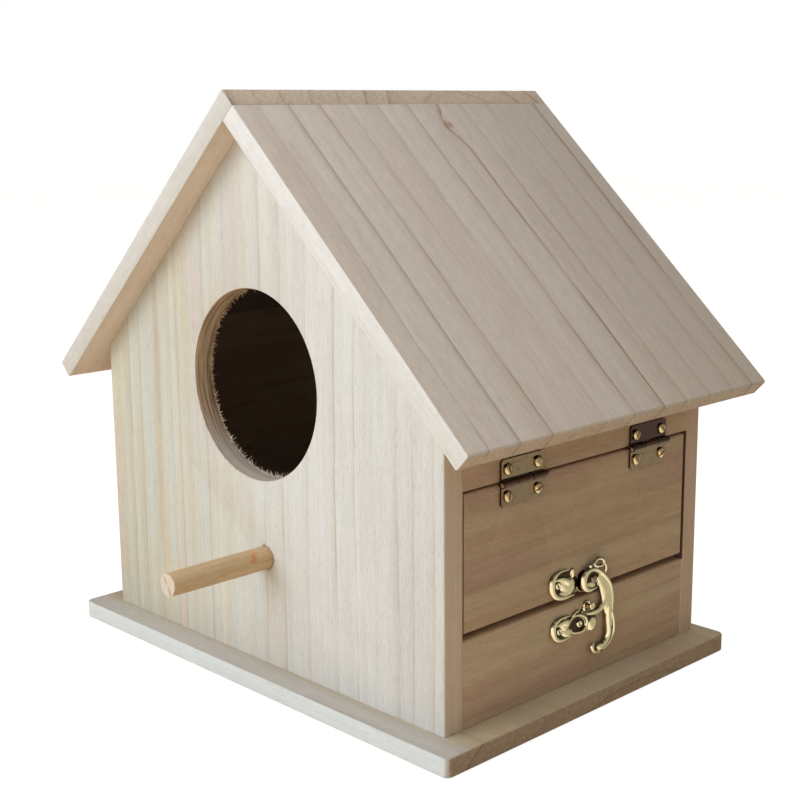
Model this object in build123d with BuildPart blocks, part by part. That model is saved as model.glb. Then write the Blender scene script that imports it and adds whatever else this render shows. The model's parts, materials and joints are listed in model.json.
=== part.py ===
from build123d import *
import os
from math import atan2, cos, degrees, hypot, radians, sin, tan

os.makedirs("parts", exist_ok=True)

# A small gabled birdhouse of thin boards. Its right side opens: a flap hangs from two brass
# butt hinges, and a brass swing hook on the flap catches a stud on the rail below.
# Sizes are in millimetres. X is the width, Y runs from front to back and Z is up.
# The origin is the middle of the base board's underside.

# House walls
body_width = 174.0
body_depth = 128.5
wall_height = 106.9
panel_thickness = 7.8
side_thickness = 7.6
edge_break = 0.4

# Base board, wider than the walls by its margins
base_thickness = 6.5
base_corner_radius = 2.5
base_side_margin = 10.5
base_front_margin = 9.7
base_back_margin = 5.3

# Roof, and how far it stands out past the walls
roof_pitch = 43.3
roof_thickness = 7.0
roof_front_overhang = 9.8
roof_back_overhang = 11.7
left_eave_overhang = 18.4
right_eave_overhang = 18.9
roof_edge_break = 0.6

# Round entrance in the front panel
entrance_radius = 32.2
entrance_height = 102.8
entrance_offset = -1.1

# Dowel perch
perch_radius = 4.0
perch_reach = 40.3
perch_height = 44.3
perch_offset = 3.0
perch_tip_chamfer = 0.7
glue_clearance = 0.05

# Keyhole for a hanging screw in the back panel
keyhole_radius = 4.0
keyhole_slot_width = 4.2
keyhole_slot_rise = 9.0
keyhole_height = 149.0

# Rails of the right side, and the gaps round the flap door between them
bottom_rail_height = 28.4
top_rail_height = 25.5
door_bottom_gap = 2.3
door_top_gap = 0.8
door_side_gap = 0.9

# Butt hinges
hinge_length = 19.5
leaf_height = 7.4
leaf_thickness = 0.8
leaf_corner_cut = 0.8
knuckle_radius = 1.2
knuckle_standoff = 0.15
knuckle_gap = 0.3
door_knuckle_length = 6.5
hinge_pin_radius = 0.55
pin_clearance = 0.05
pin_button_radius = 0.95
pin_button_length = 1.3
front_hinge_inset = 25.0
back_hinge_inset = 22.0

# Countersunk screws of the hinges
screw_spacing = 14.0
screw_rise = 4.2
screw_head_radius = 1.8
screw_shank_radius = 0.8
screw_length = 6.0
screw_slot_width = 0.5
screw_slot_depth = 0.4
screw_seat_clearance = 0.05

# Shanks and their pilot holes are hidden in the wood, so they have few sides
shank_sides = 6

# Latch plate on the flap
plate_thickness = 0.9
plate_rim_width = 0.6
cup_depth = 0.4
latch_pivot_rise = 3.2
latch_pivot_shift = 4.8
pivot_lobe_radius = 4.2
nail_lobe_radius = 4.4
nail_lobe_reach = 17.4
nail_lobe_rise = 1.6
shoulder_reach = 4.6
shoulder_radius = 3.6
plate_waist = 4.4

# Swing arm, measured from its pivot
arm_clearance = 0.1
arm_thickness = 1.2
arm_head_radius = 4.2
arm_bulge = 9.4
arm_band_width = 5.3
band_start_shares = (0.55, 0.8)
band_root_shares = (0.35, -0.75)
band_middle_share = 0.6
band_end_shares = (0.82, 1.2)
claw_clearance = 0.3
claw_width = 1.8
claw_sweep = 56
claw_throat_rise = 1.8
curl_radius = 2.3
curl_eye_radius = 1.1
curl_side = 2.8
curl_rise = 4.7
bead_radius = 1.1
bead_side = 1.7
bead_rise = 4.6
tail_width = 2.0
tail_drop = 24.2
tail_bulge = 9.3
tail_root_shares = (0.62, 0.48)
tail_middle_shares = (0.9, 0.7)
tail_turn_share = 0.88
tail_curl_side = 1.5
tail_curl_radius = 2.2
tail_eye_radius = 0.9

# Rivet that the arm turns on
rivet_radius = 0.9
rivet_clearance = 0.05
rivet_head_radius = 1.9
rivet_head_height = 0.8
rivet_length = 5.0

# Catch plate and stud on the bottom rail
stud_side = 2.5
stud_drop = 8.9
stud_radius = 0.9
stud_reach = 3.0
stud_lip_radius = 1.25
stud_lip_shift = 0.45
stud_lip_thickness = 0.6
stud_pad_radius = 1.7
catch_drop = 14.2
catch_middle_radius = 2.6
catch_middle_side = 6.2
catch_scroll_radius = 3.7
catch_scroll_side = 16.4
catch_tail_radius = 2.9
catch_tail_side = 0.2
catch_tail_drop = 15.2
catch_waist = 3.8
stud_neck_width = 2.2

# Round head nails of the latch
nail_head_radius = 1.45
nail_head_height = 0.7
nail_shank_radius = 0.6
nail_length = 5.5

# Places that follow from the sizes
slope = radians(roof_pitch)
base_width = body_width + 2 * base_side_margin
base_depth = base_front_margin + body_depth + base_back_margin
front_face = base_front_margin - base_depth / 2
front_inner = front_face + panel_thickness
back_face = front_face + body_depth
back_inner = back_face - panel_thickness
side_face = body_width / 2
side_inner = side_face - side_thickness
roof_front = front_face - roof_front_overhang
roof_length = roof_front_overhang + body_depth + roof_back_overhang
left_slope_length = (side_face + left_eave_overhang) / cos(slope)
right_slope_length = (side_face + right_eave_overhang) / cos(slope)
under_ridge = wall_height + side_face * tan(slope)
ridge_height = under_ridge + roof_thickness / cos(slope)
seam_distance = roof_thickness / sin(2 * slope)

rail_top = base_thickness + bottom_rail_height
top_rail_bottom = wall_height - top_rail_height
door_bottom = rail_top + door_bottom_gap
door_top = top_rail_bottom - door_top_gap
door_height = door_top - door_bottom
door_front = front_inner + door_side_gap
door_back = back_inner - door_side_gap

axis_x = side_face + knuckle_standoff + knuckle_radius
axis_z = (door_top + top_rail_bottom) / 2
hinge_middles = {"front": door_front + front_hinge_inset, "back": door_back - back_hinge_inset}

pivot_y = (door_front + door_back) / 2 + latch_pivot_shift
pivot_z = door_bottom + latch_pivot_rise
plate_floor = plate_thickness - cup_depth
plate_front = side_face + plate_thickness
arm_back = plate_front + arm_clearance
arm_front = arm_back + arm_thickness
nail_lobe = (pivot_y - nail_lobe_reach, pivot_z + nail_lobe_rise)
stud_place = (pivot_y - stud_side, pivot_z - stud_drop)
stud_angle = degrees(atan2(-stud_drop, -stud_side))
claw_radius = hypot(stud_side, stud_drop) + stud_radius + claw_clearance + claw_width / 2
catch_z = pivot_z - catch_drop
catch_middle = (pivot_y - catch_middle_side, catch_z)
catch_scroll = (pivot_y - catch_scroll_side, catch_z)
catch_tail = (pivot_y + catch_tail_side, pivot_z - catch_tail_drop)


def across(y):
    """Plane square to Y, seen from the front: its own x is X and its own y is Z."""
    return Plane(origin=(0, y, 0), x_dir=(1, 0, 0), z_dir=(0, -1, 0))


def from_side(x):
    """Plane square to X, seen from the right: its own x is Y and its own y is Z."""
    return Plane(origin=(x, 0, 0), x_dir=(0, 1, 0), z_dir=(1, 0, 0))


def on_slope(distance, depth, side):
    """A point of the roof: so far down the slope and so far below its outer face."""
    x = distance * cos(slope) - depth * sin(slope)
    z = ridge_height - distance * sin(slope) - depth * cos(slope)
    return (side * x, z)


def under_roof(x):
    """Height of the roof's underside."""
    return under_ridge - abs(x) * tan(slope)


def save(builder, name):
    """Label a finished piece and write it under its own name."""
    builder.part.label = name
    export_step(builder.part, f"parts/{name}.step")


# Base board, with its four corners rounded and its edges eased
with BuildPart() as base_board:
    with BuildSketch(Plane.XY):
        RectangleRounded(base_width, base_depth, base_corner_radius)
    extrude(amount=base_thickness)
    chamfer(base_board.faces().sort_by(Axis.Z)[-1].edges(), edge_break)
    chamfer(base_board.faces().sort_by(Axis.Z)[0].edges(), edge_break)
save(base_board, "base_board")


# Gable outline that the front and back panels share
gable = [
    (-side_face, base_thickness),
    (side_face, base_thickness),
    (side_face, under_roof(side_face)),
    (0, under_ridge),
    (-side_face, under_roof(side_face)),
]

# Front panel with the entrance and the perch's hole
with BuildPart() as front_panel:
    with BuildSketch(across(front_face)):
        with BuildLine():
            Polyline(*gable, close=True)
        make_face()
        with Locations((entrance_offset, entrance_height)):
            Circle(entrance_radius, mode=Mode.SUBTRACT)
        with Locations((perch_offset, perch_height)):
            Circle(perch_radius + glue_clearance, mode=Mode.SUBTRACT)
    extrude(amount=-panel_thickness)
    outer_corners = front_panel.edges().filter_by(Axis.Z).group_by(Axis.Y)[0]
    chamfer(outer_corners, edge_break)
save(front_panel, "front_panel")

# Back panel with the keyhole that the house hangs by
with BuildPart() as back_panel:
    with BuildSketch(across(back_inner)):
        with BuildLine():
            Polyline(*gable, close=True)
        make_face()
        with Locations((0, keyhole_height)):
            Circle(keyhole_radius, mode=Mode.SUBTRACT)
        with Locations((0, keyhole_height + keyhole_slot_rise)):
            Circle(keyhole_slot_width / 2, mode=Mode.SUBTRACT)
        with Locations((0, keyhole_height + keyhole_slot_rise / 2)):
            Rectangle(keyhole_slot_width, keyhole_slot_rise, mode=Mode.SUBTRACT)
    extrude(amount=-panel_thickness)
    outer_corners = back_panel.edges().filter_by(Axis.Z).group_by(Axis.Y)[-1]
    chamfer(outer_corners, edge_break)
save(back_panel, "back_panel")


# Side boards: each is a section that runs from the front panel to the back panel
side_length = back_inner - front_inner

with BuildPart() as left_wall:
    with BuildSketch(across(front_inner)):
        with BuildLine():
            Polyline(
                (-side_face, base_thickness),
                (-side_inner, base_thickness),
                (-side_inner, under_roof(side_inner)),
                (-side_face, under_roof(side_face)),
                close=True,
            )
        make_face()
    extrude(amount=-side_length)
save(left_wall, "left_wall")

pilot_radius = screw_shank_radius + screw_seat_clearance
nail_hole_radius = nail_shank_radius + screw_seat_clearance
rivet_hole_radius = rivet_radius + rivet_clearance
stud_hole_radius = stud_radius + rivet_clearance


def screw_places(z):
    """Where the four screws of one row go, seen from the right side."""
    half = screw_spacing / 2
    return [(middle + end, z) for middle in hinge_middles.values() for end in (-half, half)]


rail_screw_places = screw_places(axis_z + screw_rise)
door_screw_places = screw_places(axis_z - screw_rise)

with BuildPart() as top_rail:
    with BuildSketch(across(front_inner)):
        with BuildLine():
            Polyline(
                (side_inner, top_rail_bottom),
                (side_face, top_rail_bottom),
                (side_face, under_roof(side_face)),
                (side_inner, under_roof(side_inner)),
                close=True,
            )
        make_face()
    extrude(amount=-side_length)
    lower_arris = top_rail.edges().filter_by(Axis.Y).group_by(Axis.Z)[0].sort_by(Axis.X)[-1]
    chamfer(lower_arris, edge_break)
    with BuildSketch(from_side(side_face)):
        with Locations(*rail_screw_places):
            RegularPolygon(pilot_radius, shank_sides)
    extrude(amount=-screw_length, mode=Mode.SUBTRACT)
save(top_rail, "top_rail")

with BuildPart() as bottom_rail:
    with BuildSketch(across(front_inner)):
        with Locations((side_inner, base_thickness)):
            Rectangle(side_thickness, bottom_rail_height, align=(Align.MIN, Align.MIN))
    extrude(amount=-side_length)
    upper_arris = bottom_rail.edges().filter_by(Axis.Y).group_by(Axis.Z)[-1].sort_by(Axis.X)[-1]
    chamfer(upper_arris, edge_break)
    with BuildSketch(from_side(side_face)):
        with Locations(catch_middle, catch_scroll):
            RegularPolygon(nail_hole_radius, shank_sides)
    extrude(amount=-nail_length, mode=Mode.SUBTRACT)
save(bottom_rail, "bottom_rail")


# Flap door: it hangs from the top rail and closes flush with the side
with BuildPart() as flap_door:
    with BuildSketch(from_side(side_inner)):
        with Locations((door_front, door_bottom)):
            Rectangle(door_back - door_front, door_height, align=(Align.MIN, Align.MIN))
    extrude(amount=side_thickness)
    chamfer(flap_door.faces().sort_by(Axis.X)[-1].edges(), edge_break)
    with BuildSketch(from_side(side_face)):
        with Locations(*door_screw_places):
            RegularPolygon(pilot_radius, shank_sides)
    extrude(amount=-screw_length, mode=Mode.SUBTRACT)
    with BuildSketch(from_side(side_face)):
        with Locations(nail_lobe):
            RegularPolygon(nail_hole_radius, shank_sides)
    extrude(amount=-nail_length, mode=Mode.SUBTRACT)
    with BuildSketch(from_side(side_face)):
        with Locations((pivot_y, pivot_z)):
            Circle(rivet_hole_radius)
    extrude(amount=-rivet_length, mode=Mode.SUBTRACT)
save(flap_door, "flap_door")


# Roof boards: the left one runs on over the ridge and covers the right one's top end
seam = on_slope(seam_distance, 0, 1)
roof_sections = {
    "roof_left": [
        (0, ridge_height),
        seam,
        on_slope(left_slope_length, roof_thickness, -1),
        on_slope(left_slope_length, 0, -1),
    ],
    "roof_right": [
        seam,
        on_slope(right_slope_length, 0, 1),
        on_slope(right_slope_length, roof_thickness, 1),
        (0, under_ridge),
    ],
}
for roof_name, outline in roof_sections.items():
    with BuildPart() as roof_board:
        with BuildSketch(across(roof_front)):
            with BuildLine():
                Polyline(*outline, close=True)
            make_face()
        extrude(amount=-roof_length)
        eave_arrises = roof_board.edges().filter_by(Axis.Y).group_by(Axis.Z)
        chamfer(eave_arrises[0] + eave_arrises[1], roof_edge_break)
    save(roof_board, roof_name)


# Perch: a dowel through the front panel, flush inside, with its tip eased
with BuildPart() as perch:
    with BuildSketch(across(front_inner)):
        with Locations((perch_offset, perch_height)):
            Circle(perch_radius)
    extrude(amount=panel_thickness + perch_reach)
    chamfer(perch.faces().sort_by(Axis.Y)[0].edges(), perch_tip_chamfer)
save(perch, "perch")


# Butt hinges
on_seat = (Align.CENTER, Align.CENTER, Align.MIN)
door_knuckle_half = door_knuckle_length / 2
notch_depth = knuckle_radius + knuckle_gap
end_knuckle_length = (hinge_length - door_knuckle_length) / 2 - knuckle_gap
seat_radius = screw_head_radius + screw_seat_clearance


def hinge_leaf(middle, upward, knuckle_starts, knuckle_length, notches):
    """One leaf: a plate flat on the wood, its curled knuckles and its countersunk holes."""
    plate_middle = axis_z + upward * leaf_height / 2
    with BuildPart() as leaf:
        with BuildSketch(from_side(side_face)) as plate:
            with Locations((middle, plate_middle)):
                Rectangle(hinge_length, leaf_height)
            free_corners = plate.vertices().group_by(Axis.Z)[-1 if upward > 0 else 0]
            chamfer(free_corners, leaf_corner_cut)
            for start, length in notches:
                with Locations((start + length / 2, axis_z)):
                    Rectangle(length, 2 * notch_depth, mode=Mode.SUBTRACT)
        extrude(amount=leaf_thickness)
        for start in knuckle_starts:
            with BuildSketch(across(start)):
                with Locations((axis_x, axis_z)):
                    Circle(knuckle_radius)
            extrude(amount=-knuckle_length)
        with BuildSketch(across(middle - hinge_length)):
            with Locations((axis_x, axis_z)):
                Circle(hinge_pin_radius + pin_clearance)
        extrude(amount=-2 * hinge_length, mode=Mode.SUBTRACT)
        hole_z = axis_z + upward * screw_rise
        with Locations(from_side(side_face)):
            with Locations((middle - screw_spacing / 2, hole_z), (middle + screw_spacing / 2, hole_z)):
                Cone(pilot_radius, seat_radius, leaf_thickness, align=on_seat, mode=Mode.SUBTRACT)
    return leaf


for place, middle in hinge_middles.items():
    low_end = middle - hinge_length / 2
    high_knuckle = middle + door_knuckle_half + knuckle_gap
    middle_notch = (middle - door_knuckle_half - knuckle_gap, door_knuckle_length + 2 * knuckle_gap)
    end_notch_length = end_knuckle_length + knuckle_gap
    end_notches = [(low_end, end_notch_length), (middle + door_knuckle_half, end_notch_length)]

    fixed_leaf = hinge_leaf(middle, 1, [low_end, high_knuckle], end_knuckle_length, [middle_notch])
    save(fixed_leaf, f"{place}_hinge_fixed_leaf")

    door_leaf = hinge_leaf(middle, -1, [middle - door_knuckle_half], door_knuckle_length, end_notches)
    save(door_leaf, f"{place}_hinge_door_leaf")

    # Pin with a button at each end of the barrel
    with BuildPart() as hinge_pin:
        with BuildSketch(across(low_end)):
            with Locations((axis_x, axis_z)):
                Circle(hinge_pin_radius)
        extrude(amount=-hinge_length)
        with BuildSketch(across(low_end)):
            with Locations((axis_x, axis_z)):
                Circle(pin_button_radius)
        extrude(amount=pin_button_length)
        mirror(about=Plane.XZ.offset(-middle))
    save(hinge_pin, f"{place}_hinge_pin")


# Fasteners are drawn standing on XY with the wood's face at zero, then set into the side
with BuildPart() as hinge_screw:
    with BuildSketch(Plane.XY):
        RegularPolygon(screw_shank_radius, shank_sides)
    extrude(amount=-screw_length)
    Cone(screw_shank_radius, screw_head_radius, leaf_thickness, align=on_seat)
    with BuildSketch(Plane.XY.offset(leaf_thickness)):
        Rectangle(2 * screw_head_radius, screw_slot_width)
    extrude(amount=-screw_slot_depth, mode=Mode.SUBTRACT)

with BuildPart() as plate_nail:
    with BuildSketch(Plane.XY.offset(plate_floor)):
        RegularPolygon(nail_shank_radius, shank_sides)
    extrude(amount=-plate_floor - nail_length)
    with BuildSketch(Plane.XY.offset(plate_floor)):
        Circle(nail_head_radius)
    extrude(amount=nail_head_height)

with BuildPart(from_side(side_face)) as hinge_rail_screws:
    with Locations(*rail_screw_places):
        add(hinge_screw.part)
save(hinge_rail_screws, "hinge_rail_screws")

with BuildPart(from_side(side_face)) as hinge_door_screws:
    with Locations(*door_screw_places):
        add(hinge_screw.part)
save(hinge_door_screws, "hinge_door_screws")

with BuildPart(from_side(side_face)) as latch_plate_nail:
    with Locations(nail_lobe):
        add(plate_nail.part)
save(latch_plate_nail, "latch_plate_nail")

with BuildPart(from_side(side_face)) as catch_plate_nails:
    with Locations(catch_middle, catch_scroll):
        add(plate_nail.part)
save(catch_plate_nails, "catch_plate_nails")

# Rivet: its head starts a clearance in front of the arm that turns on it
rivet_lift = arm_front + arm_clearance - side_face
with BuildPart() as rivet:
    with BuildSketch(Plane.XY.offset(rivet_lift)):
        Circle(rivet_radius)
    extrude(amount=-rivet_lift - rivet_length)
    with BuildSketch(Plane.XY.offset(rivet_lift)):
        Circle(rivet_head_radius)
    extrude(amount=rivet_head_height)

with BuildPart(from_side(side_face)) as latch_rivet:
    with Locations((pivot_y, pivot_z)):
        add(rivet.part)
save(latch_rivet, "latch_rivet")


# Latch and catch. Their places on the side are measured from the pivot that the arm turns on
def from_pivot(side, rise):
    """A place on the right side, so far behind the pivot and so far above it."""
    return (pivot_y + side, pivot_z + rise)


def web(start, end, width):
    """Corners of a straight web of one width between two places."""
    run = Vector(*end) - Vector(*start)
    aside = run.rotate(Axis.Z, 90).normalized() * width / 2
    corners = [Vector(*start) + aside, Vector(*end) + aside, Vector(*end) - aside, Vector(*start) - aside]
    return [(corner.X, corner.Y) for corner in corners]


def pressed_plate(lobes, webs, cups, bore):
    """Pressed brass plate: round lobes on webs, a sunk cup round each nail and one bore."""
    with BuildPart() as plate:
        with BuildSketch(from_side(side_face)):
            for place, radius in lobes:
                with Locations(place):
                    Circle(radius)
            for start, end, width in webs:
                with BuildLine():
                    Polyline(*web(start, end, width), close=True)
                make_face()
        extrude(amount=plate_thickness)
        for place, radius in cups:
            with BuildSketch(from_side(plate_front)):
                with Locations(place):
                    Circle(radius)
            extrude(amount=-cup_depth, mode=Mode.SUBTRACT)
            with BuildSketch(from_side(side_face)):
                with Locations(place):
                    RegularPolygon(nail_hole_radius, shank_sides)
            extrude(amount=plate_thickness, mode=Mode.SUBTRACT)
        place, radius = bore
        with BuildSketch(from_side(side_face)):
            with Locations(place):
                Circle(radius)
        extrude(amount=plate_thickness, mode=Mode.SUBTRACT)
    return plate


pivot = (pivot_y, pivot_z)
nail_shoulder = from_pivot(-nail_lobe_reach + shoulder_reach, nail_lobe_rise)
pivot_shoulder = from_pivot(-shoulder_reach, 0)
latch_plate = pressed_plate(
    [
        (nail_lobe, nail_lobe_radius),
        (nail_shoulder, shoulder_radius),
        (pivot_shoulder, shoulder_radius),
        (pivot, pivot_lobe_radius),
    ],
    [(nail_shoulder, pivot_shoulder, plate_waist)],
    [(nail_lobe, nail_lobe_radius - plate_rim_width)],
    (pivot, rivet_hole_radius),
)
save(latch_plate, "latch_plate")

catch_plate = pressed_plate(
    [
        (catch_scroll, catch_scroll_radius),
        (catch_middle, catch_middle_radius),
        (catch_tail, catch_tail_radius),
        (stud_place, stud_pad_radius),
    ],
    [
        (catch_scroll, catch_middle, catch_waist),
        (catch_middle, catch_tail, catch_waist),
        (catch_middle, stud_place, stud_neck_width),
    ],
    [
        (catch_scroll, catch_scroll_radius - plate_rim_width),
        (catch_middle, catch_middle_radius - plate_rim_width),
    ],
    (stud_place, stud_hole_radius),
)
save(catch_plate, "catch_plate")

# Stud: its lip leans towards the pivot, clear of the claw that sits under it
with BuildPart() as catch_stud:
    with BuildSketch(from_side(side_face)):
        with Locations(stud_place):
            Circle(stud_radius)
    extrude(amount=stud_reach)
    lip_lean = (Vector(*pivot) - Vector(*stud_place)).normalized() * stud_lip_shift
    with BuildSketch(from_side(side_face + stud_reach)):
        with Locations((stud_place[0] + lip_lean.X, stud_place[1] + lip_lean.Y)):
            Circle(stud_lip_radius)
    extrude(amount=-stud_lip_thickness)
save(catch_stud, "catch_stud")


def round_pivot(angle, radius):
    """A place on the right side, at an angle and a distance from the pivot."""
    return from_pivot(radius * cos(radians(angle)), radius * sin(radians(angle)))


# Swing arm: a head on the rivet, a broad curved band, a claw under the stud, a curled tail
# below and a small curl above. The claw rises towards its throat, so it wedges on the stud
head_start = from_pivot(*(arm_head_radius * share for share in band_start_shares))
band_end = from_pivot(arm_bulge * band_end_shares[0], -claw_radius * band_end_shares[1])
band_middle_z = pivot_z - claw_radius * band_middle_share
head_end = from_pivot(*(arm_head_radius * share for share in band_root_shares))
claw_tip = round_pivot(stud_angle, claw_radius)
claw_middle = round_pivot(stud_angle + claw_sweep / 2, claw_radius - claw_throat_rise / 2)
claw_throat = round_pivot(stud_angle + claw_sweep, claw_radius - claw_throat_rise)
tail_turn = from_pivot(tail_bulge, -tail_drop * tail_turn_share)
tail_middle = from_pivot(tail_bulge * tail_middle_shares[0], -tail_drop * tail_middle_shares[1])
tail_root = from_pivot(tail_bulge * tail_root_shares[0], -tail_drop * tail_root_shares[1])
tail_end = from_pivot(tail_curl_side, -tail_drop)
curl = from_pivot(curl_side, curl_rise)
bead = from_pivot(-bead_side, bead_rise)

with BuildPart() as latch_arm:
    with BuildSketch(from_side(arm_back)):
        with Locations(pivot):
            Circle(arm_head_radius)
        with Locations(curl):
            Circle(curl_radius)
        with Locations(bead):
            Circle(bead_radius)
        with BuildLine():
            ThreePointArc(head_start, (pivot_y + arm_bulge, band_middle_z), band_end)
            ThreePointArc(band_end, (pivot_y + arm_bulge - arm_band_width, band_middle_z), head_end)
            Line(head_end, head_start)
        make_face()
        with BuildLine() as claw_line:
            ThreePointArc(claw_throat, claw_middle, claw_tip)
        trace(claw_line.line, claw_width)
        with Locations(claw_line.line @ 1):
            Circle(claw_width / 2)
        with BuildLine() as tail_line:
            ThreePointArc(tail_root, tail_middle, tail_turn)
            TangentArc(tail_turn, tail_end, tangent=tail_line.line % 1)
        trace(tail_line.line, tail_width)
        with Locations(tail_end):
            Circle(tail_curl_radius)
            Circle(tail_eye_radius, mode=Mode.SUBTRACT)
        with Locations(curl):
            Circle(curl_eye_radius, mode=Mode.SUBTRACT)
        with Locations(pivot):
            Circle(rivet_hole_radius, mode=Mode.SUBTRACT)
    extrude(amount=arm_thickness)
save(latch_arm, "latch_arm")
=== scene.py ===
# %% [markdown]
# # A hanging birdhouse with a brass-latched flap
#
# The birdhouse stands on its own base board: two gables, two roof boards, a dowel perch and a
# right side whose middle opens as a flap. The boards come from the CAD frame, which fixes every
# size. What this lesson adds is what the eye looks for first: the grain of the wood, the torn
# fibres round the entrance, and the small brass hinges and latch.

# %% Load the frame and keep its size
import json
import random
from math import acos, atan2, cos, pi, radians, sin, tan

import bpy
from mathutils import Matrix, Vector


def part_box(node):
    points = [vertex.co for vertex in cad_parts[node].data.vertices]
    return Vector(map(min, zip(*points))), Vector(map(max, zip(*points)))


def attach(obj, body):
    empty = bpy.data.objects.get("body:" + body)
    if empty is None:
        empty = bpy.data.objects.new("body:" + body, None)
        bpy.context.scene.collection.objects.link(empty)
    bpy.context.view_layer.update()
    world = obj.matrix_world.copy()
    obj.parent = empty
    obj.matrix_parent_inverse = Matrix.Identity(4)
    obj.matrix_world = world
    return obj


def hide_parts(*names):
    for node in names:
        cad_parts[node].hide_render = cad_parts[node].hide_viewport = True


MM = 0.001
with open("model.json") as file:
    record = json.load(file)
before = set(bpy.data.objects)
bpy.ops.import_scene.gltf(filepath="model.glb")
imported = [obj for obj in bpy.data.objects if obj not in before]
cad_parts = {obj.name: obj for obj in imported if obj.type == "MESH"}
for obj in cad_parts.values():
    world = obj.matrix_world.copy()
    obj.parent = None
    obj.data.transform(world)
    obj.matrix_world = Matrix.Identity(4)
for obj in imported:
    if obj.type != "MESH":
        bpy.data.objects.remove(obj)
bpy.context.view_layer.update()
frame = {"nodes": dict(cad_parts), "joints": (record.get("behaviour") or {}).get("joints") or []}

# %% [markdown]
# ## The camera
#
# The photograph was taken from the front right, a little above the house. The camera's place and
# turn were solved from the corners of the boards, so it is written as a direction to look back
# along, a roll, and a focal length. Where a known corner lands in the frame is printed.

# %% Camera
focal_pixels, frame_pixels, sensor_mm = 1408.5, 800, 36
azimuth, elevation, roll = radians(46.01), radians(11.65), radians(-0.49)
back = Vector((sin(azimuth) * cos(elevation), -cos(azimuth) * cos(elevation), sin(elevation)))
level_right = Vector((cos(azimuth), sin(azimuth), 0))
level_up = back.cross(level_right)
right = level_right * cos(roll) + level_up * sin(roll)
up = level_up * cos(roll) - level_right * sin(roll)

bpy.ops.object.camera_add(location=(0.3618, -0.3448, 0.1918))
camera = bpy.context.object
camera.name = "photo_camera"
camera.rotation_euler = Matrix((right, up, back)).transposed().to_euler()
camera.data.sensor_width = sensor_mm
camera.data.lens = sensor_mm * focal_pixels / frame_pixels
camera.data.clip_start = 0.01
bpy.context.scene.camera = camera


def pixel_of(point):
    """Where a point in metres lands in the 800 by 800 frame."""
    ray = Vector(point) - camera.location
    per_metre = focal_pixels / -ray.dot(back)
    return [round(frame_pixels / 2 + per_metre * v, 1) for v in (ray.dot(right), -ray.dot(up))]


roof_low, roof_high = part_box("roof_left")
roof_faces = frame["nodes"]["roof_left"].data.polygons
slope = acos(max(roof_faces, key=lambda face: face.area * face.normal.z).normal.z)
print("roof falls by", round(slope * 180 / pi, 1), "degrees")
print("front end of the ridge lands at", pixel_of((0, roof_low.y, roof_high.z)))

# %% [markdown]
# ## Short calls for nodes
#
# Every light and finish here is a tree of small nodes. A small class holds a tree and places its
# nodes, each in one call that takes the node's kind and its inputs. The call gives back what the
# node puts out, and what goes in is a value or another node's output.

# %% A node tree with short calls
class Nodes:
    """A node tree whose nodes are placed and joined in one call each."""

    def __init__(self, tree):
        self.tree = tree

    def feed(self, socket, value):
        """A socket gets a link if the value is another socket, and otherwise the value itself."""
        if isinstance(value, bpy.types.NodeSocket):
            self.tree.links.new(value, socket)
        else:
            socket.default_value = value

    def feed_named(self, node, values):
        """Feed a node's inputs by their names, with _ for a blank."""
        for label, value in values.items():
            self.feed(node.inputs[label.replace("_", " ")], value)

    def add(self, kind, *in_order, named=None, **settings):
        """A new node with its settings and its inputs. Gives back its outputs."""
        made = self.tree.nodes.new("ShaderNode" + kind)
        for key, value in settings.items():
            setattr(made, key, value)
        for socket, value in zip(made.inputs, in_order):
            self.feed(socket, value)
        self.feed_named(made, named or {})
        return made.outputs

    def calc(self, operation, *values, clamp=False):
        """One Math node."""
        return self.add("Math", *values, operation=operation, use_clamp=clamp)[0]


def new_material(name, **shader_values):
    """A material, its nodes and its Principled shader, with some of the shader's inputs fed."""
    made = bpy.data.materials.new(name)
    made.use_nodes = True
    nodes = Nodes(made.node_tree)
    shader = made.node_tree.nodes["Principled BSDF"]
    nodes.feed_named(shader, shader_values)
    return made, nodes, shader


print("calls of a node tree:", [name for name in vars(Nodes) if not name.startswith("_")])

# %% [markdown]
# ## Floor, backdrop and lamps
#
# A studio shot on white: the background and the floor look white to the camera, and the metal
# sees the same white, but the boards are lit by a plain soft light. Light Path tells the rays
# apart. One big soft lamp at the front left makes the front the brightest side and leaves the
# right side in soft shade, as in the photograph. Metal lives on what it mirrors, so the room has
# a dark ceiling, and a small lamp at the front puts a bright line on every rounded brass edge.

# %% World and floor
def seen_directly(nodes):
    """1 for rays from the camera and for rays off gloss or through glass, otherwise 0."""
    path = nodes.add("LightPath")
    seen = path["Is Camera Ray"]
    for label in ("Is Glossy Ray", "Is Transmission Ray"):
        seen = nodes.calc("MAXIMUM", seen, path[label])
    return seen


scene = bpy.context.scene
scene.view_settings.view_transform = "Standard"
world = bpy.data.worlds.new("studio")
scene.world = world
world.use_nodes = True
room_light, room_level = (1.0, 0.93, 0.86, 1), 0.39
sky = Nodes(world.node_tree)
sky.tree.nodes.clear()
dim = sky.add("Background", room_light, room_level)[0]
way_up = sky.add("SeparateXYZ", sky.add("TexCoord")["Generated"])[2]
ceiling = sky.add("MapRange", way_up, 0.35, 0.75, 1.0, 0.12, interpolation_type="SMOOTHSTEP")[0]
white = sky.add("Background", (1, 1, 1, 1), ceiling)[0]
sky.add("OutputWorld", sky.add("MixShader", seen_directly(sky), dim, white)[0])

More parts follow.
